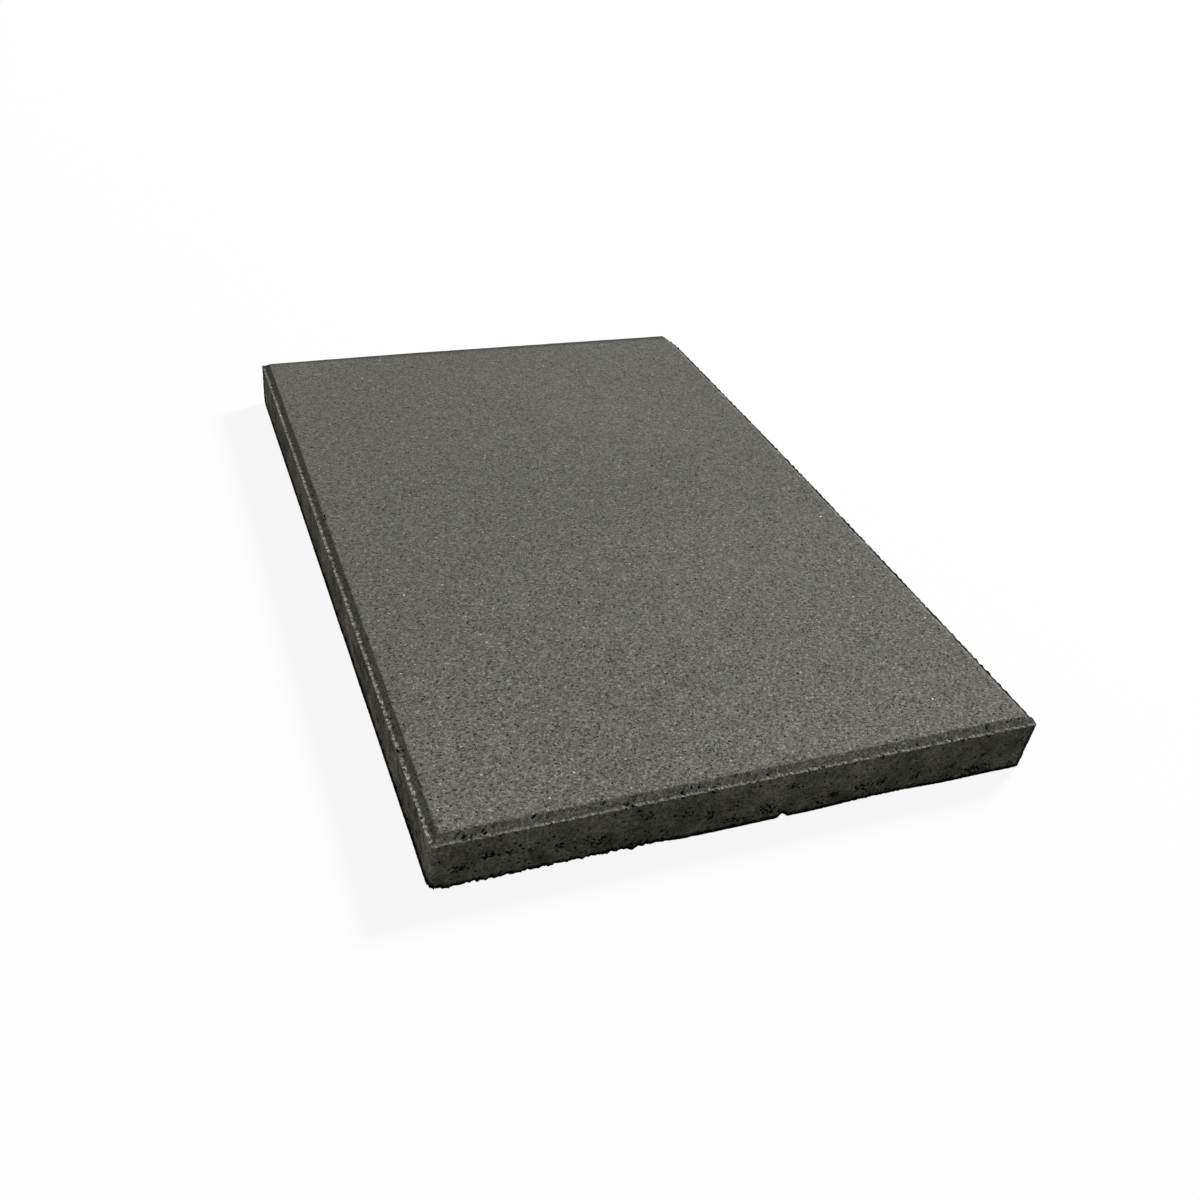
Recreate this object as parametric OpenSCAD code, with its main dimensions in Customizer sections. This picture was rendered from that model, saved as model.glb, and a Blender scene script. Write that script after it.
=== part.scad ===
// Concrete paving slab, pressed in one piece, with a chamfer round its top face.
// It lies flat on its bed face. The origin is the middle of the bed face, X runs
// across the slab, Y runs along it and Z points up. Sizes are in millimetres.

/* [Slab] */
// Width across the slab, from side to side
slab_w = 400; // [200:1:900]
// Length along the slab, from end to end
slab_l = 600; // [300:1:1200]
// Thickness from the bed face to the top face
slab_t = 40; // [30:1:100]

/* [Top edge] */
// Width of the chamfer, seen from above
chamfer_w = 5; // [2:0.5:15]
// Drop from the top face to the foot of the chamfer
chamfer_d = 4.5; // [2:0.5:15]
// Width of the flat rim left outside the foot of the chamfer
rim_w = 1; // [0.5:0.1:5]

/* [Corners] */
// Radius of the four upright edges
corner_r = 3; // [1:0.5:25]

/* [Finish] */
// Colour of the cured concrete
concrete_colour = "dimgray"; // [dimgray, gray, darkgray, tan]

/* [Hidden] */

// Facets round a full circle
$fn = 96;
// Height of the rim above the bed face
rim_z = slab_t - chamfer_d;
// Radius of the chamfer's foot where it follows a corner, inside the rim
foot_r = max(corner_r - rim_w, 0);
// Height over which the chamfer is rounded there, before its mitre starts
round_h = min(foot_r * chamfer_d / chamfer_w, chamfer_d);
// How far cutting shapes run past the slab
overrun = 10;

// Plan of the slab, with its corners rounded
module plan() {
    square([slab_w - 2 * corner_r, slab_l], center = true);
    square([slab_w, slab_l - 2 * corner_r], center = true);
    at_corners()
        circle(r = corner_r);
}

// Children at the centre of each rounded corner, turned so that +X and +Y point outwards
module at_corners() {
    for (x = [-1, 1], y = [-1, 1])
        translate([x * (slab_w / 2 - corner_r), y * (slab_l / 2 - corner_r)])
            mirror([x < 0 ? 1 : 0, 0])
                mirror([0, y < 0 ? 1 : 0])
                    children();
}

// Section of the slab above the rim: the chamfer on both sides and the top face
module chamfer_section(span) {
    foot = span / 2 - rim_w;
    polygon([
        [-foot, 0],
        [foot, 0],
        [foot - chamfer_w, chamfer_d],
        [chamfer_w - foot, chamfer_d]
    ]);
}

// That section, run along Y and past the slab at both ends
module chamfer_run(span, length) {
    rotate([90, 0, 0])
        linear_extrude(height = length + 2 * overrun, center = true)
            chamfer_section(span);
}

// What a rounded corner takes off the foot of the chamfer
module corner_trim() {
    reach = corner_r + overrun;
    difference() {
        cube([reach, reach, round_h]);
        cylinder(h = round_h, r1 = foot_r, r2 = foot_r - round_h * chamfer_w / chamfer_d);
    }
}

// The raised middle of the slab: chamfers that meet in a mitre, and the top face
module crown() {
    difference() {
        intersection() {
            chamfer_run(slab_w, slab_l);
            rotate([0, 0, 90])
                chamfer_run(slab_l, slab_w);
        }
        if (foot_r > 0) at_corners() corner_trim();
    }
}

module slab() {
    color(concrete_colour)
        union() {
            linear_extrude(height = rim_z)
                plan();
            translate([0, 0, rim_z])
                crown();
        }
}

slab();
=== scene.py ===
"""Looks for the concrete paving slab: one closed concrete mesh, a floor, soft light and the camera.

The mesh is worked out in millimetres on three flat charts that share their border vertices:
the top face, the band (chamfer, rim, side and the start of the underside, unrolled) and the bed.
Each chart carries relief fields, and its points lie closer together where the relief needs them.
"""

import math

import bpy
import numpy as np
from mathutils import Matrix, Vector
from mathutils.geometry import delaunay_2d_cdt


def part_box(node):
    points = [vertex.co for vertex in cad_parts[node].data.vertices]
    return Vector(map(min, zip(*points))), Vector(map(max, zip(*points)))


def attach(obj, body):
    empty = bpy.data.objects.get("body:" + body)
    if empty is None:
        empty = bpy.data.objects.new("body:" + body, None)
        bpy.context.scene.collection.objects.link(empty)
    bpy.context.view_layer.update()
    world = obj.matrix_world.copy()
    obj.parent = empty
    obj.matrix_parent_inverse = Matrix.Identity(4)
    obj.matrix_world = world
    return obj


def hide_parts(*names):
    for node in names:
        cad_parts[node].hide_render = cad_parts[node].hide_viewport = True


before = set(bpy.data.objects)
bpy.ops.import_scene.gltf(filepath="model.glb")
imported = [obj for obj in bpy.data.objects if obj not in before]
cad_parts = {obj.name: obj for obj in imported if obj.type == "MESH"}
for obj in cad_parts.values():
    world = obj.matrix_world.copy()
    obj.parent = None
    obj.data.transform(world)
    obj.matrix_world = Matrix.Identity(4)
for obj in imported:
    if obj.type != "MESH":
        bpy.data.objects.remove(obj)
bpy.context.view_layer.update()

# ---- Driving dimensions, in millimetres -------------------------------------------------------

MM = 0.001
LOW, HIGH = (np.array(corner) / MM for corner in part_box("slab"))
WIDTH, LENGTH, THICK = HIGH - LOW
CHAMFER_W = 5.0
CHAMFER_D = 4.5
RIM_W = 1.0
CORNER_R = 2.3
MITRE_R = 0.9  # the chamfer's corners, softened
RIGHT_LEAN = 4.3  # how far the right side leans in towards the far corner
CORNER_LOSS, CORNER_REACH = 4.8, 30.0  # what that corner has lost besides, and over what length
FAR_LEAN = 3.2  # how far the far side leans in towards the left corner
FOOT_LEAN = 3.0  # how far the near right corner leans in at its foot
SEED = 271

CELL = 0.25  # the relief fields' cell
BAND_STEPS = (24, 12, 6, 3)  # cells between the band's points, from the widest spacing to the closest
COARSEST = BAND_STEPS[0]
SKIN = 0.12  # how deep the plain surface lies under the CAD slab's faces
LIP = 3.0  # the band's strip of the top face
SLANT = math.hypot(CHAMFER_W, CHAMFER_D)

# How far down the band lie the chamfer's upper line and foot, the rim's outer line and the lower edge.
T_ARRIS = LIP
T_FOOT = T_ARRIS + SLANT
T_EDGE = T_FOOT + RIM_W
T_BED = T_EDGE + THICK - CHAMFER_D
BAND_T = CELL * COARSEST * math.ceil((T_BED + 6) / (CELL * COARSEST))
TOP_INSET = LIP + CHAMFER_W + RIM_W
BED_INSET = BAND_T - T_BED

# Stations round the slab, from the near left corner on: where each side and each rounded corner ends.
ARC = math.pi / 2 * CORNER_R
RUNS = [WIDTH - 2 * CORNER_R, LENGTH - 2 * CORNER_R] * 2
STATIONS = np.concatenate([[0.0], np.cumsum([part for run in RUNS for part in (run, ARC)])])
ROUND = STATIONS[-1]
BAND_S = COARSEST * round(ROUND / (CELL * COARSEST))  # cells round the band
CELL_S = ROUND / BAND_S

# At each station, the corner it lies at and the compass angle it faces.
CORNER_X = [-1, 1, 1, 1, 1, -1, -1, -1, -1]
CORNER_Y = [-1, -1, -1, 1, 1, 1, 1, -1, -1]
FACING = np.radians([-90, -90, 0, 0, 90, 90, 180, 180, 270])


# ---- Noise and sampling ------------------------------------------------------------------------


def ripple(rng, shape, wavelength, cells):
    """Noise of unit spread round one wavelength; it repeats at the grid's edges."""
    width = 0.45
    rows = np.fft.fftfreq(shape[0], cells[0])[:, None]
    columns = np.fft.rfftfreq(shape[1], cells[1])[None, :]
    pitch = np.hypot(rows, columns) * wavelength
    band = np.exp(-(((pitch - 1) / width) ** 2))
    field = np.fft.irfft2(np.fft.rfft2(rng.standard_normal(shape)) * band, shape)
    return field / field.std()


def ripple_line(rng, count, wavelength):
    """The same along the stations of the band, which close on themselves."""
    width = 0.6
    pitch = np.fft.rfftfreq(count, CELL_S) * wavelength
    band = np.exp(-(((pitch - 1) / width) ** 2))
    line = np.fft.irfft(np.fft.rfft(rng.standard_normal(count)) * band, count)
    return line / line.std()


def smooth(low, high, value):
    """0 below low, 1 above high and an S-curve between."""
    x = np.clip((value - low) / (high - low), 0, 1)
    return x * x * (3 - 2 * x)


def read_field(field, row, column, wrap):
    """The field between its cells; wrap says that its columns go round."""
    r0 = np.clip(np.floor(row).astype(int), 0, field.shape[0] - 2)
    c0 = np.floor(column).astype(int)
    if not wrap:
        c0 = np.clip(c0, 0, field.shape[1] - 2)
    fr = row - r0
    fc = column - c0
    count = field.shape[1]
    near, far = c0 % count, (c0 + 1) % count
    upper = field[r0, near] * (1 - fc) + field[r0, far] * fc
    lower = field[r0 + 1, near] * (1 - fc) + field[r0 + 1, far] * fc
    return upper * (1 - fr) + lower * fr


# ---- The slab's plain shape --------------------------------------------------------------------


def out_of_square(place):
    """The places moved as the real slab is out of square, with its worn far right corner."""
    x, y, z = place.T
    away = LENGTH / 2 - y
    lean = RIGHT_LEAN * (np.clip(y, 0, None) / (LENGTH / 2)) ** 1.3 * np.clip(0.5 + x / WIDTH, 0, 1)
    lost = CORNER_LOSS * np.clip(1 - away / CORNER_REACH, 0, 1) ** 2
    lost = lost * smooth(0.4 * WIDTH, 0.49 * WIDTH, x)
    foot = FOOT_LEAN * (1 - z / THICK) * smooth(0.35 * WIDTH, 0.48 * WIDTH, x)
    foot = foot * smooth(-0.35 * LENGTH, -0.48 * LENGTH, y)
    back = FAR_LEAN * smooth(-0.1 * WIDTH, -0.6 * WIDTH, x) * np.clip(0.5 + y / LENGTH, 0, 1) ** 2
    return np.column_stack([x - lean - lost - foot, y - back, z])


def plan_point(s, inset):
    """Plan position and outward direction at station s, set in from the outer faces."""
    radius = np.maximum(CORNER_R - inset, np.minimum(MITRE_R, CORNER_R))
    angle = np.interp(s, STATIONS, FACING)
    across, along = np.cos(angle), np.sin(angle)
    x = np.interp(s, STATIONS, CORNER_X) * (WIDTH / 2 - inset - radius) + radius * across
    y = np.interp(s, STATIONS, CORNER_Y) * (LENGTH / 2 - inset - radius) + radius * along
    return x, y, across, along


def section():
    """The band's section: for each fine step down it, inset, height and the outward normal."""
    step = 0.05
    margin = 40  # steps past each end of the band
    blur = 17  # steps over which a crease is rounded
    beyond = margin * step
    t = np.arange(-margin, round(BAND_T / step) + margin + 1) * step
    marks = [-beyond, T_ARRIS, T_FOOT, T_EDGE, T_BED, BAND_T + beyond]
    insets = [TOP_INSET + beyond, CHAMFER_W + RIM_W, RIM_W, 0, 0, BED_INSET + beyond]
    heights = [THICK, THICK, THICK - CHAMFER_D, THICK - CHAMFER_D, 0, 0]
    inset = np.interp(t, marks, insets)
    height = np.interp(t, marks, heights)
    kernel = np.hanning(blur)
    kernel /= kernel.sum()
    padded = [np.pad(line, blur // 2, "edge") for line in (inset, height)]
    inset, height = [np.convolve(line, kernel, "valid") for line in padded]
    fall = np.gradient(height, step)
    out = -np.gradient(inset, step)
    span = np.hypot(fall, out)
    keep = slice(margin, -margin)
    return t[keep], inset[keep], height[keep], -fall[keep] / span[keep], out[keep] / span[keep]


SECTION = section()


def on_section(t):
    """Inset, height, outward part and upward part of the normal at t."""
    return [np.interp(t, SECTION[0], line) for line in SECTION[1:]]


# ---- Relief of the band ------------------------------------------------------------------------


def side_station(side, place):
    """Station of a place along a side, from that side's start: near, right, far, left."""
    return STATIONS[2 * side] + place - CORNER_R


def window(rows, s, t, reach_s, reach_t):
    """Rows and columns of the relief's cells within reach of a place on the band."""
    r = np.arange(max(0, int((t - reach_t) / CELL)), min(rows, int((t + reach_t) / CELL) + 2))
    c = np.arange(int((s - reach_s) / CELL_S), int((s + reach_s) / CELL_S) + 2)
    return r, c


def cavity(fields, s, t, size, depth, rng):
    """One ragged void: a few overlapping hollows whose edge follows the grain."""
    carve, pore, ragged = fields
    rows, count = carve.shape
    reach = size * 1.7
    r, c = window(rows, s, t, reach, reach)
    if len(r) < 2:
        return
    patch = np.ix_(r, c % count)
    dt = r[:, None] * CELL - t
    ds = c[None, :] * CELL_S - s
    hollow = np.zeros((len(r), len(c)))
    for _ in range(4):
        wide = size * rng.uniform(0.45, 0.8)
        flat = rng.uniform(0.55, 1.0)
        turn = rng.uniform(0, math.pi)
        off_s, off_t = rng.normal(0, size * 0.4, 2)
        a = (ds - off_s) * math.cos(turn) + (dt - off_t) * math.sin(turn)
        b = (dt - off_t) * math.cos(turn) - (ds - off_s) * math.sin(turn)
        away = np.hypot(a / wide, b / (wide * flat))
        hollow = np.maximum(hollow, 1.15 - away)
    hollow = smooth(0.0, 0.55, hollow + 0.28 * ragged[patch] - 0.1)
    carve[patch] = np.maximum(carve[patch], hollow * depth)
    pore[patch] = np.maximum(pore[patch], smooth(0.05, 0.4, hollow))


# Loose patches of the near side: place along it, height, half width, half height, how loose.
NEAR_PATCHES = [
    (16, 15, 7, 4.5, 0.85),
    (33, 21, 5.5, 2.6, 1.3),
    (46, 20, 4, 2.5, 0.9),
    (58, 17, 2.5, 2.5, 0.9),
    (75, 16, 4, 4, 0.95),
    (100, 13, 14, 6, 0.7),
    (123, 31, 1.8, 1.8, 1.3),
    (125, 5, 25, 2, 0.75),
    (129, 24, 3, 1.8, 1.0),
    (140, 11, 3, 2, 0.8),
    (155, 20, 5, 3, 0.85),
    (170, 15, 5, 4, 1.05),
    (185, 18, 4, 3, 0.75),
    (188, 6.5, 14, 2.5, 0.9),
    (209, 10, 7, 5, 1.15),
    (224, 26, 3, 2.5, 0.95),
    (244, 6, 4, 2.5, 0.95),
    (245, 31, 2, 1.5, 1.0),
    (254, 10.5, 5.5, 5, 0.9),
    (275, 12, 6.5, 4, 1.1),
    (288, 12, 4, 3, 0.85),
    (300, 5, 95, 1.8, 0.6),
    (314, 12, 4, 3, 0.95),
    (341, 14, 3, 2, 1.05),
    (360, 7, 14, 3.5, 1.15),
    (364, 18, 3.2, 1.6, 1.25),
    (390, 6, 5, 2, 0.95),
]


def loosen(loose, s, t, half_s, half_t, amount):
    """An oval patch of looser concrete, fading outwards."""
    rows, count = loose.shape
    r, c = window(rows, s, t, 2.2 * half_s, 2.2 * half_t)
    patch = np.ix_(r, c % count)
    away = ((r[:, None] * CELL - t) / half_t) ** 2 + ((c[None, :] * CELL_S - s) / half_s) ** 2
    loose[patch] = np.maximum(loose[patch], amount * np.exp(-away))


def loose_patches(shape, rng):
    """Where the sides are loose: as photographed near, at random elsewhere, hardly on the left."""
    loose = np.zeros(shape)
    for place, height, half_w, half_h, amount in NEAR_PATCHES:
        loosen(loose, side_station(0, place), T_BED - height, half_w, half_h, amount)
    for side, groups, most in ((1, 17, 1.2), (2, 12, 1.2), (3, 7, 0.85)):
        for _ in range(groups):
            place = rng.uniform(10, RUNS[side] - 10)
            height = 4 + 24 * rng.beta(1.0, 2.4)
            half_w, half_h = rng.uniform(3, 12), rng.uniform(1.8, 4.5)
            amount = most * rng.uniform(0.6, 1.0)
            loosen(loose, side_station(side, place), T_BED - height, half_w, half_h, amount)
    return loose


# Single pits all round the band: how many, their sizes, the rows they lie in, depth as a share of size.
PITS = [
    (140, (0.3, 0.75), (T_EDGE + 1, T_BED - 1), 0.9),  # pinholes of the sides
    (80, (0.3, 0.6), (T_ARRIS + 0.6, T_FOOT - 0.6), 1.0),  # pinholes of the chamfer
    (200, (0.35, 0.95), (T_FOOT, T_EDGE + 1.3), 0.9),  # nicks in and under the rim
]


def scattered_pits(fields, rng):
    """Single pinholes on the sides and chamfer, and the nicks in and under the rim."""
    for count, sizes, rows, deep in PITS:
        for _ in range(count):
            size = rng.uniform(*sizes)
            t = rng.uniform(*rows)
            cavity(fields, rng.uniform(0, ROUND), t, size, size * deep, rng)


# Holes of the near and left chamfers that stand out: side, place along it, how far down the slope.
CHAMFER_HOLES = [
    (0, 15, 4.8),
    (0, 14, 2.4),
    (0, 18, 5.0),
    (0, 23.5, 5.2),
    (0, 29, 4.6),
    (0, 57, 1.0),
    (0, 114, 4.5),
    (0, 118, 2.8),
    (0, 149, 4.8),
    (0, 161, 4.2),
    (0, 205, 3.8),
    (0, 310, 4.4),
    (3, 265, 0.3),
    (3, 269, 0.9),
    (3, 273, 8.2),
    (3, 290, 1.0),
    (3, 300, 2.3),
    (3, 495, 3.5),
]


def chamfer_holes(fields, rng):
    """The larger holes in the chamfers."""
    for side, place, down in CHAMFER_HOLES:
        size = rng.uniform(0.75, 1.1)
        cavity(fields, side_station(side, place), T_ARRIS + down, size, size * 1.4, rng)


# The near side's lower edge: places along it, and how much its corners are worn.
CHIPPED_TO, LOST_TO = (126, 140), (132, 158)  # where the ragged stretch and its loss fade out
KNOB_AT, NOTCH_AT, DIP_AT = 121.5, 220.5, 290.0
CORNER_WEAR = (0.2, 1.2, 1.2, 2.1)  # near right, far right, far left, near left


def near_left(full, gone, stations):
    """1 round the near left corner and up to one place along the near side, 0.07 past the other."""
    along = smooth(side_station(0, gone), side_station(0, full), stations)
    return 0.07 + 0.93 * np.maximum(along, smooth(ROUND - 10, ROUND - ARC, stations))


def corner_wear(stations):
    """How far the lower edge is worn away at the upright corners."""
    worn = np.zeros(len(stations))
    for corner, extra in zip(STATIONS[1::2], CORNER_WEAR):
        middle = corner + ARC / 2
        away = np.abs((stations - middle + ROUND / 2) % ROUND - ROUND / 2)
        worn = worn + extra * np.exp(-((away / 4.5) ** 2))
    return worn


def near_bump(place, reach, power, stations):
    """A bump of height 1 about a place along the near side."""
    return np.exp(-(((stations - side_station(0, place)) / reach) ** power))


def bed_edge(rng, stations):
    """How far the lower edge is worn away round the slab: ragged near left, with a knob and a notch."""
    fine = ripple_line(rng, len(stations), 5.5)
    medium = ripple_line(rng, len(stations), 13.0)
    broad = ripple_line(rng, len(stations), 70.0)
    loss = near_left(*LOST_TO, stations)
    ragged = near_left(*CHIPPED_TO, stations)
    worn = corner_wear(stations)
    chipped = ragged * (0.38 * fine + 0.24 * medium) * np.clip(1 - 0.3 * worn, 0, 1)
    wear = 0.15 + 1.7 * loss + chipped + 0.08 * broad + worn
    wear = wear + 1.3 * near_bump(DIP_AT, 32, 2, stations)
    wear = wear * (1 - 0.9 * near_bump(KNOB_AT, 2.2, 2, stations))
    wear = wear + 3.2 * near_bump(NOTCH_AT, 2.6, 4, stations)
    return np.clip(wear, 0.05, 5.0)


def loose_hollows(loose, ragged, t):
    """How hollow the loose patches are, from 0 to 1, clear of the rim and the lower edge."""
    hollow = smooth(0.0, 0.35, 1.25 * np.minimum(loose, 0.8) + 0.6 * ragged - 1.0)
    return hollow * smooth(T_EDGE + 0.5, T_EDGE + 2.5, t) * smooth(T_BED - 0.5, T_BED - 2.5, t)


def skin_depth(rng, shape, cells, t):
    """How deep the plain surface lies: uneven, and rougher towards the foot of the sides."""
    side = smooth(T_EDGE, T_EDGE + 1.5, t)
    low = smooth(T_EDGE, T_BED, t)
    broad = ripple(rng, shape, 26, cells)
    medium = ripple(rng, shape, 7, cells)
    fine = ripple(rng, shape, 2.6, cells)
    depth = 0.16 + (0.03 + 0.04 * side) * broad
    depth = depth + (0.015 + 0.11 * low * side) * medium + (0.01 + 0.06 * side) * fine
    return np.clip(depth, 0, None)


def band_relief():
    """Fields over the unrolled band: carve (inwards), lift (upwards) and the masks for colour."""
    rng = np.random.default_rng(SEED)
    shape = (round(BAND_T / CELL) + 1, BAND_S)
    cells = (CELL, CELL_S)
    t = np.arange(shape[0])[:, None] * CELL
    stations = np.arange(BAND_S) * CELL_S
    ragged = 0.75 * ripple(rng, shape, 3.2, cells) + 0.5 * ripple(rng, shape, 1.8, cells)
    loose = loose_patches(shape, rng)
    hollow = loose_hollows(loose, ragged, t)
    carve = hollow * (0.8 + 0.5 * loose)
    pore = smooth(0.1, 0.6, hollow)
    fields = (carve, pore, ragged)
    scattered_pits(fields, rng)
    chamfer_holes(fields, rng)
    carve = np.maximum(carve, 0) + skin_depth(rng, shape, cells, t)
    wear = bed_edge(rng, stations)[None, :]
    edge = np.exp(-(((t - T_BED) / (1.2 + 0.9 * wear)) ** 2))
    carve = np.maximum(carve, wear * edge * (1 + 0.12 * ragged))
    fade = smooth(0, 2, t) * smooth(BAND_T, BAND_T - 2, t)
    carve = SKIN + (carve - SKIN) * fade
    lift, rim = burr(rng, t, stations, ragged)
    # The rim mask holds pale paste and a painted highlight; the last mask darkens: painted shade,
    # partly dirt.
    masks = {"pore": pore, "rim": rim, "loose": loose, "painted_shade_and_grime": painted_shade_and_grime(rng, t, stations, wear)}
    return carve, lift, masks


# Dark upright lines at the near right and far left corners: station, half width, half width with fade.
DARK_CORNER_LINES = [(STATIONS[1] - 0.6, 1.3, 2.2), (STATIONS[6] + 3.0, 4.5, 9.0)]


def along_side(side, stations):
    """1 on the stations of the right side (1), the far side (2) or the left side (3)."""
    first = 2 * side
    start = smooth(STATIONS[first - 1], STATIONS[first], stations)
    return (start * smooth(STATIONS[first + 2], STATIONS[first + 1], stations))[None, :]


def painted_shade_and_grime(rng, t, stations, wear):
    """Darkened lines: above the lower edge (painted contact shade, partly dirt), at two corners, and
    over the right side's arris and rim (painted shade).
    """
    left = along_side(3, stations)
    # The band above the lower edge: painted contact shade, partly dirt.
    uneven = (0.3 + 0.6 * left) * ripple_line(rng, len(stations), 11.0)
    top = T_BED - 2.7 - 3.6 * left - 0.65 * wear + uneven
    low = smooth(top - 1.2 - 0.5 * left, top, t)
    for corner, full, faded in DARK_CORNER_LINES:
        away = np.abs(stations - corner)[None, :]
        low = np.maximum(low, 0.8 * smooth(faded, full, away) * smooth(T_EDGE, T_EDGE + 1, t))
    low = low * smooth(T_BED + 3, T_BED, t)
    patchy = np.clip(1.0 + 0.45 * ripple_line(rng, len(stations), 38.0), 0.2, 1.4)
    # Over the right side's arris, chamfer and rim: painted shade.
    edge = 0.7 * smooth(T_ARRIS - 0.6, T_ARRIS + 0.2, t) + 0.3 * smooth(T_FOOT - 1, T_FOOT, t)
    edge = edge * patchy * smooth(T_EDGE + 1, T_EDGE, t) * along_side(1, stations)
    return np.maximum(low, edge)


def ledge_paleness_and_highlight(stations, beads, knots):
    """How bright the ledge is painted, partly pale paste and partly painted highlight: beaded, with
    larger knots on the left side, fewer towards its far end.
    """
    left = along_side(3, stations)
    even = left * smooth(STATIONS[6] + 0.55 * LENGTH, STATIONS[6] + 0.15 * LENGTH, stations)
    beady = (0.45 + 0.3 * left) * (1 - 0.5 * even)
    knotty = 1.2 * left * (1 - 0.75 * even)
    return 0.36 + 0.5 * left + beady * np.clip(beads, -0.8, 3) + knotty * np.clip(knots, -0.8, 3)


def burr(rng, t, stations, ragged):
    """The rim's raised ledge: how far it stands above the plain shape, and the mask of pale edges.

    Its top is beaded and uneven, and it drops to the plain rim where it has broken off. Its pale edges
    are partly pale paste and partly painted highlight; on the right side the pale edge is the chamfer's
    upper one, a painted highlight.
    """
    count = len(stations)
    beads = ripple_line(rng, count, 2.4)
    lumps = ripple_line(rng, count, 8.0)
    knots = ripple_line(rng, count, 5.0)
    right, left = along_side(1, stations), along_side(3, stations)
    level = 0.6 + 0.2 * (1 - right) * beads + 0.2 * (1 + right) * lumps + 0.1 * ragged + 0.5 * left
    level = np.clip(level, 0.0, 1.5) * smooth(-2.0, -1.0, lumps + 0.5 * left) * (1 - 0.35 * right)
    height = on_section(t)[1] - (THICK - CHAMFER_D)
    proud = np.clip(level - np.clip(height, 0, None), 0, None)
    window = smooth(T_EDGE + 0.4, T_EDGE + 0.05, t)
    rim = smooth(0.0, 0.15, proud) * window * smooth(0.1, 0.4, level)
    bright = ledge_paleness_and_highlight(stations, beads + 0.4 * ragged, knots)
    # The right side's arris line: a painted highlight.
    arris = 0.75 * right * smooth(T_ARRIS - 2.3, T_ARRIS - 1.2, t)
    arris = arris * smooth(T_ARRIS + 0.1, T_ARRIS - 0.4, t)
    return proud * window, np.maximum(rim * bright * (1 - right), arris)


# ---- Choosing points ---------------------------------------------------------------------------


def cell_errors(field, step):
    """For each step-wide cell, how far a flat span over it would miss the field."""
    corners = field[::step, ::step]
    a, b, c, d = corners[:-1, :-1], corners[:-1, 1:], corners[1:, :-1], corners[1:, 1:]
    worst = np.zeros(a.shape)
    for i in range(step):
        for j in range(step):
            u, v = i / step, j / step
            flat = (a * (1 - v) + b * v) * (1 - u) + (c * (1 - v) + d * v) * u
            worst = np.maximum(worst, np.abs(field[i:-1:step, j:-1:step] - flat))
    return worst


def widen(mask):
    """The mask with its neighbours."""
    grown = mask.copy()
    grown[1:] |= mask[:-1]
    grown[:-1] |= mask[1:]
    grown[:, 1:] |= mask[:, :-1]
    grown[:, :-1] |= mask[:, 1:]
    return grown


def chosen_points(fields, steps, tolerances):
    """Which lattice points to keep, so that triangles between them follow the fields.

    A step-wide cell is split where a flat span over it would miss a field by that step's tolerance.
    """
    split = {}
    for step, tolerance in zip(steps[:-1], tolerances):
        split[step] = np.maximum.reduce([cell_errors(field, step) for field in fields]) > tolerance
    for finer, step in zip(steps[-2::-1], steps[-3::-1]):
        ratio = step // finer
        fine = widen(split[finer])
        rows, columns = split[step].shape
        split[step] |= fine.reshape(rows, ratio, columns, ratio).any(axis=(1, 3))
    keep = np.zeros(fields[0].shape, bool)
    keep[:: steps[0], :: steps[0]] = True
    for step, finer in zip(steps[:-1], steps[1:]):
        wanted = split[step]
        ratio = step // finer
        lattice = keep[::finer, ::finer]
        for i in range(ratio + 1):
            for j in range(ratio + 1):
                rows = slice(i, i + wanted.shape[0] * ratio, ratio)
                columns = slice(j, j + wanted.shape[1] * ratio, ratio)
                lattice[rows, columns] |= wanted
    return keep


def triangles_of(points, border=()):
    """Delaunay triangles of flat points; a border loop, if given, bounds them."""
    flat = [Vector((float(x), float(y))) for x, y in points]
    edges = [(border[i - 1], border[i]) for i in range(len(border))]
    found = delaunay_2d_cdt(flat, edges, [], 1 if edges else 0, 1e-6, True)
    origin = [place[0] for place in found[3]]
    return np.array([[origin[corner] for corner in face] for face in found[2]])


# ---- The three charts --------------------------------------------------------------------------


def wrapped(field):
    """The field with its first column again at the end."""
    return np.concatenate([field, field[:, :1]], axis=1)


# Rows of points that hold the creases sharp: a place down the band, then offsets and cells apart.
CREASES = [
    (T_ARRIS, [(-2.0, 12), (-1.0, 12), (0, 12), (0.5, 12)]),
    (T_FOOT, [(-1.5, 6), (-1.0, 4), (-0.5, 3), (0, 3), (0.5, 3)]),
    (T_EDGE, [(0, 3), (0.5, 4)]),
    (T_BED, [(-7.0, 12), (-4.0, 8), (-2.75, 6), (0, 5), (1.0, 8)]),
]


def band_lattice(carve, lift, tolerances):
    """Which of the band's lattice points to keep: where its shape needs them, and along its creases."""
    rows, count = carve.shape
    t = np.arange(rows)[:, None] * CELL
    s = np.arange(count + 1)[None, :] * CELL_S
    inset, height, _, _ = on_section(t)
    x, y, _, _ = plan_point(s, np.zeros_like(s))
    blank = np.zeros((rows, count + 1))
    fields = [wrapped(carve + lift), inset + blank, height + blank, x + blank, y + blank]
    keep = chosen_points(fields, BAND_STEPS, tolerances)
    keep[round((T_FOOT - 1.6) / CELL) : round((T_EDGE + 0.5) / CELL)] = False
    for mark, rows_here in CREASES:
        for offset, spacing in rows_here:
            keep[round((mark + offset) / CELL), ::spacing] = True
    upright = slice(round(T_EDGE / CELL) + 4, round(T_BED / CELL) - 8, 6)
    for corner, full, faded in DARK_CORNER_LINES:
        for offset in (-faded, -full, full, faded):
            keep[upright, round((corner + offset) / CELL_S)] = True
    keep[:, 0] |= keep[:, -1]
    keep[:, -1] = keep[:, 0]
    return keep


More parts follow.
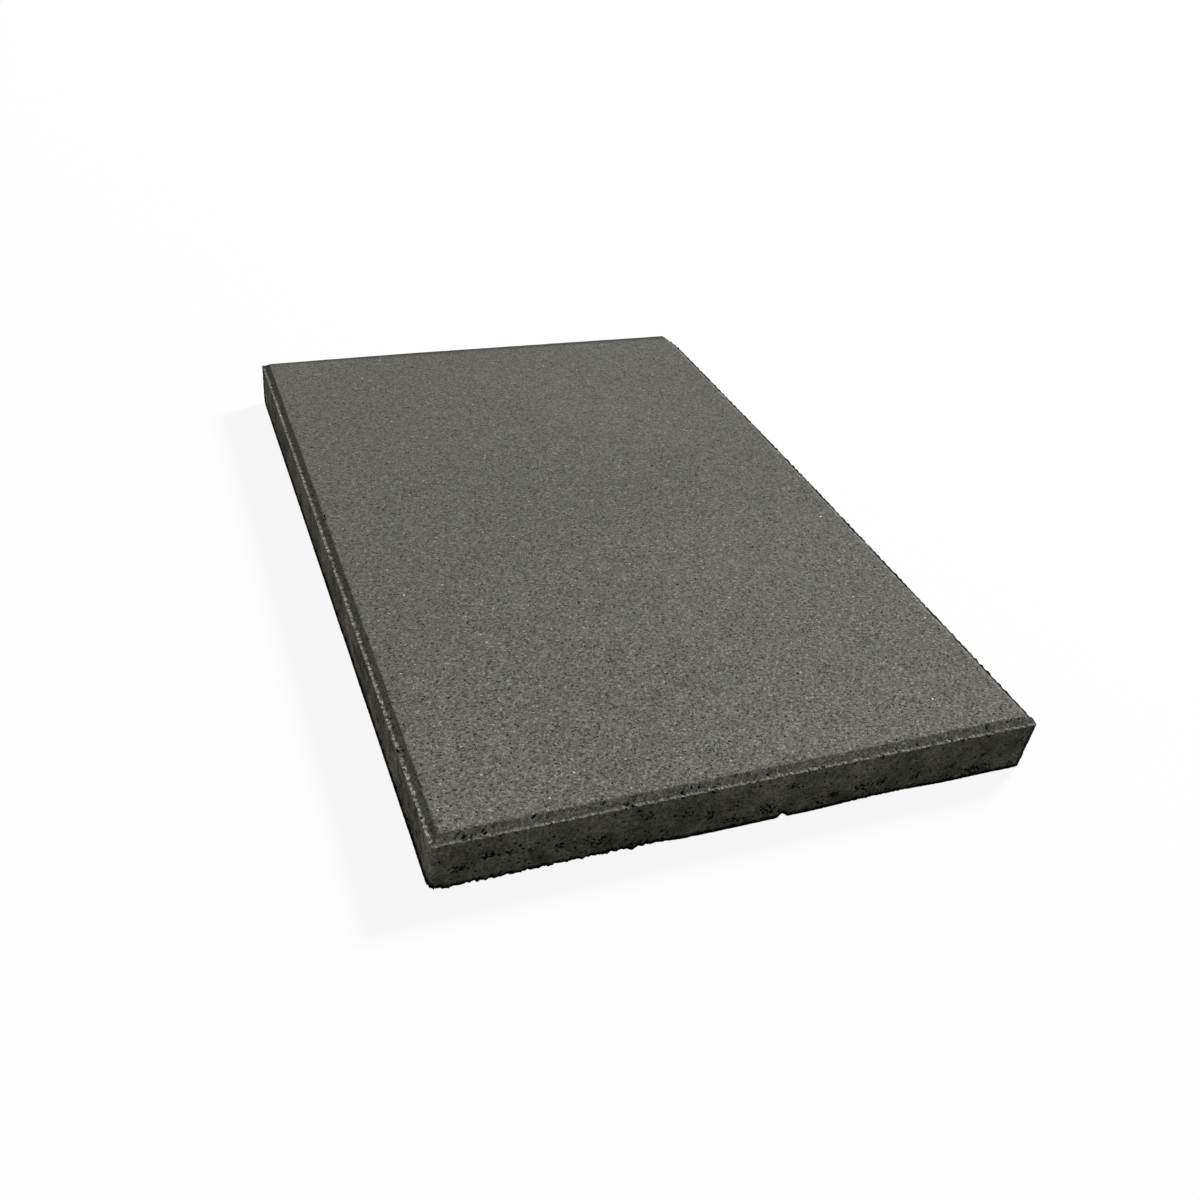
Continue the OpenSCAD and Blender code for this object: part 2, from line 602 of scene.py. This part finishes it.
def on_band(chart, sunk, raised):
    """Places of the band's points, sunk below the plain shape and raised."""
    inset, height, outward, upward = on_section(chart[:, 1])
    x, y, across, along = plan_point(chart[:, 0], inset)
    x = x - across * outward * sunk
    y = y - along * outward * sunk
    return np.column_stack([x, y, height - upward * sunk + raised])


def welded_seam(row, column, count):
    """The point that each one is welded to: the band's last column is its first again."""
    weld = np.arange(len(row))
    first = {r: i for i, (r, c) in enumerate(zip(row, column)) if c == 0}
    for i in np.nonzero(column == count)[0]:
        weld[i] = first[row[i]]
    return weld


def border_loop(row, column, edge, count):
    """The points on one of the band's border rows, in order round the slab."""
    loop = np.nonzero((row == edge) & (column < count))[0]
    return loop[np.argsort(column[loop])]


def band_shades(masks, at, chart):
    """The colour masks at the band's points."""
    s, t = chart.T
    shades = {name: read_field(mask, *at, True) for name, mask in masks.items()}
    shades["side"] = smooth(T_EDGE + 0.1, T_EDGE + 0.7, t)
    shades["brown"] = shades["side"] * smooth(STATIONS[5], STATIONS[6], s)
    shades["smooth"] = smooth(T_ARRIS - 0.8, T_ARRIS + 1.0, t) * (1 - shades["side"])
    return shades


def build_band(tolerances):
    """The band's places, triangles, chart, welded points, two border loops and colour masks."""
    carve, lift, masks = band_relief()
    rows, count = carve.shape
    row, column = np.nonzero(band_lattice(carve, lift, tolerances))
    rng = np.random.default_rng(SEED + 1)
    inner = (row * CELL > T_EDGE + 0.5) & (row < rows - 1) & (column > 0) & (column < count)
    nudge = rng.uniform(-0.6, 0.6, (2, len(row))) * inner
    at = (row + nudge[1], column + nudge[0])
    chart = np.stack([at[1] * CELL_S, at[0] * CELL], axis=1)
    faces = triangles_of(chart)[:, ::-1]
    place = on_band(chart, read_field(carve, *at, True), read_field(lift, *at, True))
    weld = welded_seam(row, column, count)
    loops = [border_loop(row, column, edge, count) for edge in (0, rows - 1)]
    return place, faces, chart, weld, loops, band_shades(masks, at, chart)


def face_pit(rng, field, pore, cells, size):
    """One oval pit somewhere in a flat face, added to its relief and to its mask."""
    shape = field.shape
    row = rng.uniform(8, shape[0] - 9)
    column = rng.uniform(8, shape[1] - 9)
    reach = int(size * 1.6 / cells[0]) + 2
    r = np.arange(max(0, int(row) - reach), min(shape[0], int(row) + reach + 1))
    c = np.arange(max(0, int(column) - reach), min(shape[1], int(column) + reach + 1))
    dr = (r[:, None] - row) * cells[0]
    dc = (c[None, :] - column) * cells[1]
    turn = rng.uniform(0, math.pi)
    a = dr * math.cos(turn) + dc * math.sin(turn)
    b = dc * math.cos(turn) - dr * math.sin(turn)
    away = np.hypot(a / size, b / (size * rng.uniform(0.5, 1.0)))
    hollow = smooth(1.05, 0.45, away)
    patch = np.ix_(r, c)
    field[patch] = np.maximum(field[patch], hollow * size * 1.1)
    pore[patch] = np.maximum(pore[patch], hollow)


def face_relief(rng, shape, cells, pits, size_range, base, rough):
    """Relief of a flat face: a slow swell, a fine roughness and single pits."""
    field = rough * (0.5 * ripple(rng, shape, 60, cells) + 0.35 * ripple(rng, shape, 14, cells))
    field += rough * 0.3 * ripple(rng, shape, 5, cells)
    pore = np.zeros(shape)
    for _ in range(pits):
        face_pit(rng, field, pore, cells, rng.uniform(*size_range))
    return np.clip(field + base, 0, None), pore


def build_face(border, inset, cell, steps, tolerances, relief):
    """A flat face inside a border loop: its chart, triangles, depth and pit mask at its own points."""
    width, length = WIDTH - 2 * inset, LENGTH - 2 * inset
    counts = [steps[0] * round(side / (cell * steps[0])) for side in (length, width)]
    cells = (length / counts[0], width / counts[1])
    shape = (counts[0] + 1, counts[1] + 1)
    field, pore = relief(shape, cells)
    y = np.linspace(-length / 2, length / 2, shape[0])[:, None]
    x = np.linspace(-width / 2, width / 2, shape[1])[None, :]
    from_edge = np.minimum(width / 2 - np.abs(x), length / 2 - np.abs(y))
    fade = smooth(0, 4, from_edge)
    field = SKIN + (field - SKIN) * fade
    keep = chosen_points([field], steps, tolerances) & (from_edge > 0.8)
    row, column = np.nonzero(keep)
    rng = np.random.default_rng(SEED + 2)
    nudge = rng.uniform(-0.3, 0.3, (2, len(row)))
    at = (row + nudge[0], column + nudge[1])
    chart = np.stack([at[1] * cells[1] - width / 2, at[0] * cells[0] - length / 2], axis=1)
    everything = np.concatenate([border, chart])
    faces = triangles_of(everything, list(range(len(border))))
    return everything, faces, read_field(field, *at, False), read_field(pore, *at, False)


# ---- One mesh ----------------------------------------------------------------------------------


def top_relief(shape, cells):
    """The top face: nearly flat, with small pits."""
    rng = np.random.default_rng(SEED + 3)
    return face_relief(rng, shape, cells, 180, (0.45, 0.95), 0.1, 0.05)


def bed_relief(shape, cells):
    """The bed: rougher, with fewer and larger pits."""
    rng = np.random.default_rng(SEED + 4)
    return face_relief(rng, shape, cells, 150, (1.2, 2.6), 0.3, 0.2)


# How far a flat span may miss the relief, for each spacing of the points but the closest.
BAND_TOLERANCES = (0.18, 0.37, 0.64)

# The flat faces: name, inset, cell, cells between points, tolerances, relief, whether it faces up.
FLATS = [
    ("top", TOP_INSET, 0.5, (16, 8, 4, 2, 1), (0.1, 0.12, 0.2, 0.32), top_relief, True),
    ("bed", BED_INSET, 0.75, (16, 8, 4, 2), (0.35, 0.4, 0.6), bed_relief, False),
]


def joined_charts():
    """The charts with shared borders: every point's place, the point it is welded to, its shades, and
    the sheets. A sheet is a chart's name, its faces by joined point and by chart point, and the chart.
    """
    place, faces, chart, weld, loops, shades = build_band(BAND_TOLERANCES)
    sheets = [("band", faces, faces, chart)]
    places = [place]
    for loop, (name, inset, cell, steps, tolerances, relief, upward) in zip(loops, FLATS):
        border = place[loop, :2]
        chart, faces, sunk, pore = build_face(border, inset, cell, steps, tolerances, relief)
        if not upward:
            faces = faces[:, ::-1]
        own = chart[len(loop):]
        places.append(np.column_stack([own, THICK - sunk if upward else sunk]))
        added = len(weld) + np.arange(len(own))
        weld = np.concatenate([weld, added])
        sheets.append((name, np.concatenate([loop, added])[faces], faces, chart))
        for mask in shades:
            value = pore if mask == "pore" else np.zeros(len(pore))
            shades[mask] = np.concatenate([shades[mask], value])
    return np.concatenate(places), weld, shades, sheets


def slab_mesh():
    """The whole slab as one closed mesh, with its colour masks and its unfolded map."""
    place, weld, shades, sheets = joined_charts()
    place = out_of_square(place)
    corners = np.concatenate([joined for _, joined, _, _ in sheets])
    layout = np.concatenate([unfolded(name, faces, chart) for name, _, faces, chart in sheets])
    used, faces = np.unique(weld[corners], return_inverse=True)
    faces = faces.reshape(-1, 3)
    mesh = bpy.data.meshes.new("slab_concrete")
    mesh.from_pydata((place[used] * MM).tolist(), [], faces.tolist())
    for name, value in shades.items():
        mask = mesh.attributes.new(name, "FLOAT", "POINT")
        mask.data.foreach_set("value", value[used].astype(np.float32))
    layer = mesh.uv_layers.new(name="OFBake")
    layer.data.foreach_set("uv", layout.reshape(-1).astype(np.float32))
    mesh.polygons.foreach_set("use_smooth", np.ones(len(faces), bool))
    mesh.update()
    return mesh


def unfolded(name, faces, chart):
    """Each face corner's place on the flat map: the faces side by side, the four sides above."""
    gap = 6.0
    across = 2 * WIDTH + 3 * gap
    if name == "band":
        u, v = unfolded_band(faces, chart, gap)
    else:
        centre = WIDTH / 2 + gap if name == "top" else 1.5 * WIDTH + 2 * gap
        u = centre + chart[faces, 0]
        v = LENGTH / 2 + gap + chart[faces, 1]
    return np.stack([u, v], axis=-1) / across


def unfolded_band(faces, chart, gap):
    """The band on the flat map, cut in the middle of each upright corner."""
    s, t = chart[faces, 0], chart[faces, 1]
    middle = s.mean(axis=1)
    cuts = STATIONS[1::2] + ARC / 2
    side = np.searchsorted(cuts, middle) % 4
    start = np.concatenate([[-ARC / 2], cuts[:-1]])[side]
    start = np.where(middle > cuts[3], cuts[3], start)[:, None]
    left = np.array([gap, gap, WIDTH + 3 * gap, gap])[side][:, None]
    level = np.array([0, 1, 0, 2])[side][:, None]
    return left + s - start, LENGTH + 2 * gap + level * (BAND_T + gap) + BAND_T - t


# ---- Materials ---------------------------------------------------------------------------------


class Graph:
    """A material's nodes, with short calls for the kinds used here."""

    def __init__(self, name):
        self.material = bpy.data.materials.new(name)
        self.material.use_nodes = True
        self.tree = self.material.node_tree
        self.tree.nodes.clear()

    def add(self, kind, sockets=None, **settings):
        """A node of this kind, with values or links for its sockets."""
        made = self.tree.nodes.new(kind)
        for name, value in settings.items():
            setattr(made, name, value)
        for name, value in (sockets or {}).items():
            self.put(made.inputs[name], value)
        return made

    def put(self, socket, value):
        """Link the value to the socket, or set it there."""
        if isinstance(value, bpy.types.NodeSocket):
            self.tree.links.new(value, socket)
        else:
            socket.default_value = value

    def math(self, operation, a, b):
        return self.add("ShaderNodeMath", {0: a, 1: b}, operation=operation).outputs[0]

    def product(self, *factors):
        """All the factors multiplied together."""
        found = factors[0]
        for factor in factors[1:]:
            found = self.math("MULTIPLY", found, factor)
        return found

    def span(self, value, low, high, to_low=0.0, to_high=1.0):
        """The value carried from low..high to to_low..to_high, and held at the ends."""
        sockets = {"Value": value, "From Min": low, "From Max": high}
        sockets.update({"To Min": to_low, "To Max": to_high})
        return self.add("ShaderNodeMapRange", sockets).outputs["Result"]

    def noise(self, where, millimetres, detail=2.0, roughness=0.5):
        """Soft noise of this size, from 0 to 1."""
        sockets = {"Vector": where, "Scale": 1 / (millimetres * MM)}
        sockets.update({"Detail": detail, "Roughness": roughness})
        return self.add("ShaderNodeTexNoise", sockets).outputs["Fac"]

    def cells(self, where, millimetres):
        """Irregular cells of this size."""
        sockets = {"Vector": where, "Scale": 1 / (millimetres * MM)}
        return self.add("ShaderNodeTexVoronoi", sockets, feature="F1")

    def mix(self, factor, a, b, blend="MIX"):
        """Colour a turned into b, or blended with it, by the factor."""
        made = self.add("ShaderNodeMix", data_type="RGBA", blend_type=blend)
        for socket, value in ((made.inputs[0], factor), (made.inputs[6], a), (made.inputs[7], b)):
            self.put(socket, value)
        return made.outputs[2]

    def mask(self, name):
        """One of the mesh's colour masks."""
        return self.add("ShaderNodeAttribute", attribute_name=name).outputs["Fac"]


# Soft mottling of the concrete: size in millimetres and swing of the brightness.
MOTTLING = ((140, 0.03), (34, 0.008), (2.6, 0.1), (1.5, 0.24))

# Sand grains: size in millimetres, power, swing of the brightness, and how much of it is left far away.
GRAINS = ((1.3, 3.0, 0.76, 0.5), (0.75, 1.0, 0.4, 0.26))


def grain_tone(graph, where, closed, side):
    """Brightness of the sand and paste, about 1, from slow mottling down to single grains.

    The photo's top is a little paler near the camera and duller by the right edge, its grain is finer
    towards the far side, and the far chamfer shows as a thin dark line of painted shade. Places are
    in metres.
    """
    axes = graph.add("ShaderNodeSeparateXYZ", {"Vector": where}).outputs
    along = axes["Y"]
    near = graph.span(along, -0.27, 0.05, 1.125, 0.965)
    far = graph.span(along, 0.05, 0.25, 1.0, 1.02)
    tone = graph.product(near, far, graph.span(axes["X"], 0.13, 0.195, 1.0, 0.94))
    for size, swing in MOTTLING:
        patch = graph.noise(where, size, 0.5)
        tone = graph.product(tone, graph.span(patch, 0.3, 0.7, 1 - swing, 1 + swing))
    calm = graph.product(graph.span(closed, 0.0, 1.0, 1.0, 0.95), graph.span(side, 0.0, 1.0, 1.0, 0.6))
    for size, power, swing, left in GRAINS:
        grain = graph.cells(where, size).outputs["Color"]
        red = graph.add("ShaderNodeSeparateColor", {"Color": grain}).outputs["Red"]
        change = graph.math("POWER", graph.span(red, 0.0, 1.0, -1.0, 1.0), power)
        change = graph.product(change, graph.span(along, -0.3, 0.3, swing, swing * left), calm)
        tone = graph.product(tone, graph.math("ADD", change, 1.0))
    # A thin strip along the top's far edge, halved in brightness: painted shade.
    far_edge_shade = graph.product(graph.span(along, 0.2865, 0.291), graph.span(along, 0.2955, 0.2945))
    return graph.product(tone, graph.span(far_edge_shade, 0.0, 1.0, 1.0, 0.5))


def specks(graph, where, size, share, radius):
    """1 inside sparse round specks: a share of cells of this size hold one of this radius."""
    cell = graph.cells(where, size)
    pick = graph.add("ShaderNodeSeparateColor", {"Color": cell.outputs["Color"]}).outputs["Green"]
    chosen = graph.math("LESS_THAN", pick, share)
    inside = graph.span(cell.outputs["Distance"], radius / size, radius / size * 0.6)
    return graph.product(chosen, inside)


# Pinholes (their darkness painted shade) and pale grains: cell in millimetres, share of cells that
# hold one, radius, strength.
PINHOLES = ((9, 0.5, 1.0, 1.0), (4, 0.5, 0.8, 1.0), (2.3, 0.35, 0.55, 0.65))
PALE_GRAINS = ((27, 0.5, 0.9, 1.0), (9, 0.6, 1.0, 0.45), (4.2, 0.4, 0.65, 0.4), (2.6, 0.3, 0.55, 0.2))


def all_specks(graph, where, kinds):
    """The specks of several kinds together, each at its strength."""
    found = 0.0
    for size, share, radius, strength in kinds:
        speck = graph.product(specks(graph, where, size, share, radius), strength)
        found = graph.math("MAXIMUM", found, speck)
    return found


def holes(graph, where, pore, loose, skin):
    """1 in the holes, whose darkness is painted shade: the modelled voids, pinholes, and fine voids in
    the loose patches.
    """
    fewer = graph.span(skin, 0.0, 1.0, 1.0, 0.15)
    ragged = graph.span(graph.noise(where, 1.2, 2.0), 0.3, 0.7, -0.2, 0.2)
    voids = graph.span(graph.math("ADD", pore, ragged), 0.3, 0.55)
    pinholes = graph.product(all_specks(graph, where, PINHOLES), fewer)
    fine = graph.span(graph.noise(where, 2.0, 2.0), 0.5, 0.75, 0.0, 1.0)
    fine = graph.math("ADD", fine, graph.math("MINIMUM", loose, 0.84))
    found = graph.math("MAXIMUM", voids, pinholes)
    return graph.math("MAXIMUM", found, graph.span(fine, 0.95, 1.05))


PASTE = (0.128, 0.125, 0.110, 1)
PALER_PASTE = (0.134, 0.131, 0.117, 1)
SIDE_PASTE = (0.146, 0.142, 0.116, 1)
BROWN = (0.170, 0.134, 0.118, 1)
PALE_SAND = (0.70, 0.68, 0.62, 1)
DARKEST = 0.08  # brightness left in the holes' painted shade and in the painted shade and dirt lines
RIM_PALENESS_AND_HIGHLIGHT = 2.8  # brightness of the rim's palest beads, partly pale paste and partly painted highlight


def own_colour(graph, where, side, brown):
    """The concrete's colour: grey paste, another grey on the sides, brown stains and pale sand."""
    colour = graph.mix(graph.noise(where, 50, 4.0), PASTE, PALER_PASTE)
    colour = graph.mix(side, colour, SIDE_PASTE)
    stain = graph.span(graph.noise(where, 13, 3.0), 0.44, 0.62)
    colour = graph.mix(graph.product(stain, brown, 0.55), colour, BROWN)
    return graph.mix(all_specks(graph, where, PALE_GRAINS), colour, PALE_SAND)


def side_blotches(graph, where, side, brown):
    """Brightness of the sides' blotches, about 1; they are stronger on the brown side."""
    blotch = graph.span(graph.noise(where, 8, 3.0, 0.6), 0.32, 0.68, -0.3, 0.3)
    blotch = graph.math("ADD", blotch, graph.span(graph.noise(where, 26, 1.0), 0.35, 0.65, -0.2, 0.2))
    blotch = graph.product(blotch, side, graph.span(brown, 0.0, 1.0, 1.0, 1.7))
    return graph.math("ADD", blotch, 1.0)


def sand_bump(graph, where, hole, skin):
    """The surface's normal: raised sand grains, fine noise and sunken holes."""
    grain = graph.cells(where, 1.3)
    height = graph.span(grain.outputs["Distance"], 0.0, 0.8, 1.0, 0.0)
    height = graph.math("ADD", height, graph.noise(where, 0.9, 3.0, 0.6))
    height = graph.math("SUBTRACT", height, graph.product(hole, 1.5))
    strength = graph.span(skin, 0.0, 1.0, 0.65, 0.35)
    sockets = {"Strength": strength, "Distance": 0.35 * MM, "Height": height}
    return graph.add("ShaderNodeBump", sockets).outputs["Normal"]


def concrete():
    """Grey concrete: sandy face, darker closed sides, pale rim partly painted as a highlight, and
    voids, foot and right chamfer darkened with painted shade, the foot partly dirt.
    """
    graph = Graph("concrete")
    where = graph.add("ShaderNodeTexCoord").outputs["Object"]
    names = ("pore", "loose", "rim", "side", "brown", "smooth", "painted_shade_and_grime")
    pore, loose, rim, side, brown, closed, shade_and_dirt = (graph.mask(name) for name in names)
    skin = graph.math("MAXIMUM", closed, side)
    hole = holes(graph, where, pore, loose, skin)
    tone = graph.product(
        grain_tone(graph, where, closed, side),
        side_blotches(graph, where, side, brown),
        # The rim's paleness, partly a painted highlight.
        graph.span(rim, 0.0, 2.0, 1.0, RIM_PALENESS_AND_HIGHLIGHT),
        graph.span(closed, 0.0, 1.0, 1.0, 0.85),
        # Painted shade at the foot (partly dirt) and on the right chamfer and rim, and dark lines at
        # two corners.
        graph.span(shade_and_dirt, 0.0, 1.0, 1.0, DARKEST),
        # The holes' darkness: painted shade.
        graph.span(hole, 0.0, 1.0, 1.0, DARKEST),
    )
    grey = graph.add("ShaderNodeCombineColor", {"Red": tone, "Green": tone, "Blue": tone}).outputs[0]
    sockets = {
        "Base Color": graph.mix(1.0, own_colour(graph, where, side, brown), grey, "MULTIPLY"),
        "Roughness": graph.span(graph.noise(where, 1.7, 2.0), 0.3, 0.7, 0.8, 0.96),
        "Specular IOR Level": graph.span(graph.math("MAXIMUM", hole, shade_and_dirt), 0.0, 1.0, 0.25, 0.02),
        "Normal": sand_bump(graph, where, hole, skin),
    }
    surface = graph.add("ShaderNodeBsdfPrincipled", sockets)
    graph.add("ShaderNodeOutputMaterial", {"Surface": surface.outputs[0]})
    return graph.material


def floor_material():
    """Pale floor to the camera, which keeps the soft shadow; a darker bounce for the slab."""
    graph = Graph("studio_floor")
    seen = graph.add("ShaderNodeLightPath").outputs["Is Camera Ray"]
    bounce = graph.add("ShaderNodeBsdfDiffuse", {"Color": (0.22, 0.22, 0.215, 1)})
    paper = graph.add("ShaderNodeBsdfDiffuse", {"Color": (0.98, 0.98, 0.98, 1)})
    white = graph.add("ShaderNodeEmission", {"Color": (1, 1, 1, 1), "Strength": 1.0})
    pale = graph.add("ShaderNodeMixShader", {0: 0.9, 1: paper.outputs[0], 2: white.outputs[0]})
    both = graph.add("ShaderNodeMixShader", {0: seen, 1: bounce.outputs[0], 2: pale.outputs[0]})
    graph.add("ShaderNodeOutputMaterial", {"Surface": both.outputs[0]})
    return graph.material


# ---- Stage -------------------------------------------------------------------------------------


def place_object(name, data, material=None):
    """A new object in the scene, with its material if it has one."""
    made = bpy.data.objects.new(name, data)
    bpy.context.scene.collection.objects.link(made)
    if material:
        made.data.materials.append(material)
    return made


def make_floor():
    """A floor that reaches past every view."""
    reach = 30.0
    mesh = bpy.data.meshes.new("floor")
    corners = [(-reach, -reach, 0), (reach, -reach, 0), (reach, reach, 0), (-reach, reach, 0)]
    mesh.from_pydata(corners, [], [(0, 1, 2, 3)])
    place_object("floor", mesh, floor_material())


def direction(azimuth, elevation):
    """Unit vector towards a compass angle (from +X to +Y) and height, in degrees."""
    turn, rise = math.radians(azimuth), math.radians(elevation)
    return Vector((math.cos(turn) * math.cos(rise), math.sin(turn) * math.cos(rise), math.sin(rise)))


def soft_lamp(name, azimuth, elevation, share, size, distance):
    """A round lamp that gives a surface facing it this share of the plain light level."""
    data = bpy.data.lights.new(name, "AREA")
    data.shape = "DISK"
    data.size = size
    data.energy = share * (math.pi * distance) ** 2
    lamp = place_object(name, data)
    towards = direction(azimuth, elevation)
    lamp.location = towards * distance
    lamp.rotation_euler = towards.to_track_quat("Z", "Y").to_euler()


def make_lights():
    """A dim even world that the camera sees as white, a soft key lamp and a low fill from the left."""
    world = bpy.data.worlds.new("studio")
    world.use_nodes = True
    tree = world.node_tree
    tree.nodes.clear()
    seen = tree.nodes.new("ShaderNodeLightPath").outputs["Is Camera Ray"]
    around, white = (tree.nodes.new("ShaderNodeBackground") for _ in range(2))
    around.inputs["Color"].default_value = (1, 1, 1, 1)
    around.inputs["Strength"].default_value = 0.25
    white.inputs["Color"].default_value = (1, 1, 1, 1)
    white.inputs["Strength"].default_value = 1.0
    both = tree.nodes.new("ShaderNodeMixShader")
    tree.links.new(seen, both.inputs[0])
    tree.links.new(around.outputs[0], both.inputs[1])
    tree.links.new(white.outputs[0], both.inputs[2])
    out = tree.nodes.new("ShaderNodeOutputWorld")
    tree.links.new(both.outputs[0], out.inputs["Surface"])
    bpy.context.scene.world = world
    soft_lamp("key", 27.0, 37.5, 1.18, 1.8, 9.0)
    soft_lamp("left_fill", 180, 8, 0.14, 3.0, 6.0)


def make_camera():
    """The photograph's view: from the near left, rolled a little."""
    azimuth, elevation, roll = math.radians(-24.467), math.radians(35.374), math.radians(-6.638)
    distance = 0.8661
    target = Vector((-0.0320, -0.1117, THICK * MM))
    back = Vector(
        (
            math.sin(azimuth) * math.cos(elevation),
            -math.cos(azimuth) * math.cos(elevation),
            math.sin(elevation),
        )
    )
    level = (-back).cross(Vector((0, 0, 1))).normalized()
    down = (-back).cross(level)
    right = math.cos(roll) * level + math.sin(roll) * down
    up = math.sin(roll) * level - math.cos(roll) * down
    turned = Matrix((right, up, back)).transposed().to_4x4()
    data = bpy.data.cameras.new("camera")
    data.sensor_width = 36.0
    data.lens = 37.706
    camera = place_object("camera", data)
    camera.matrix_world = Matrix.Translation(target + back * distance) @ turned
    bpy.context.scene.camera = camera


def make_slab():
    """The slab's looks, which ride on the root body in the CAD slab's place."""
    slab = place_object("slab_concrete", slab_mesh(), concrete())
    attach(slab, "root")
    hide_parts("slab")
    print("triangles", len(slab.data.polygons))


make_camera()
make_lights()
make_floor()
make_slab()
bpy.context.scene.view_settings.view_transform = "Standard"
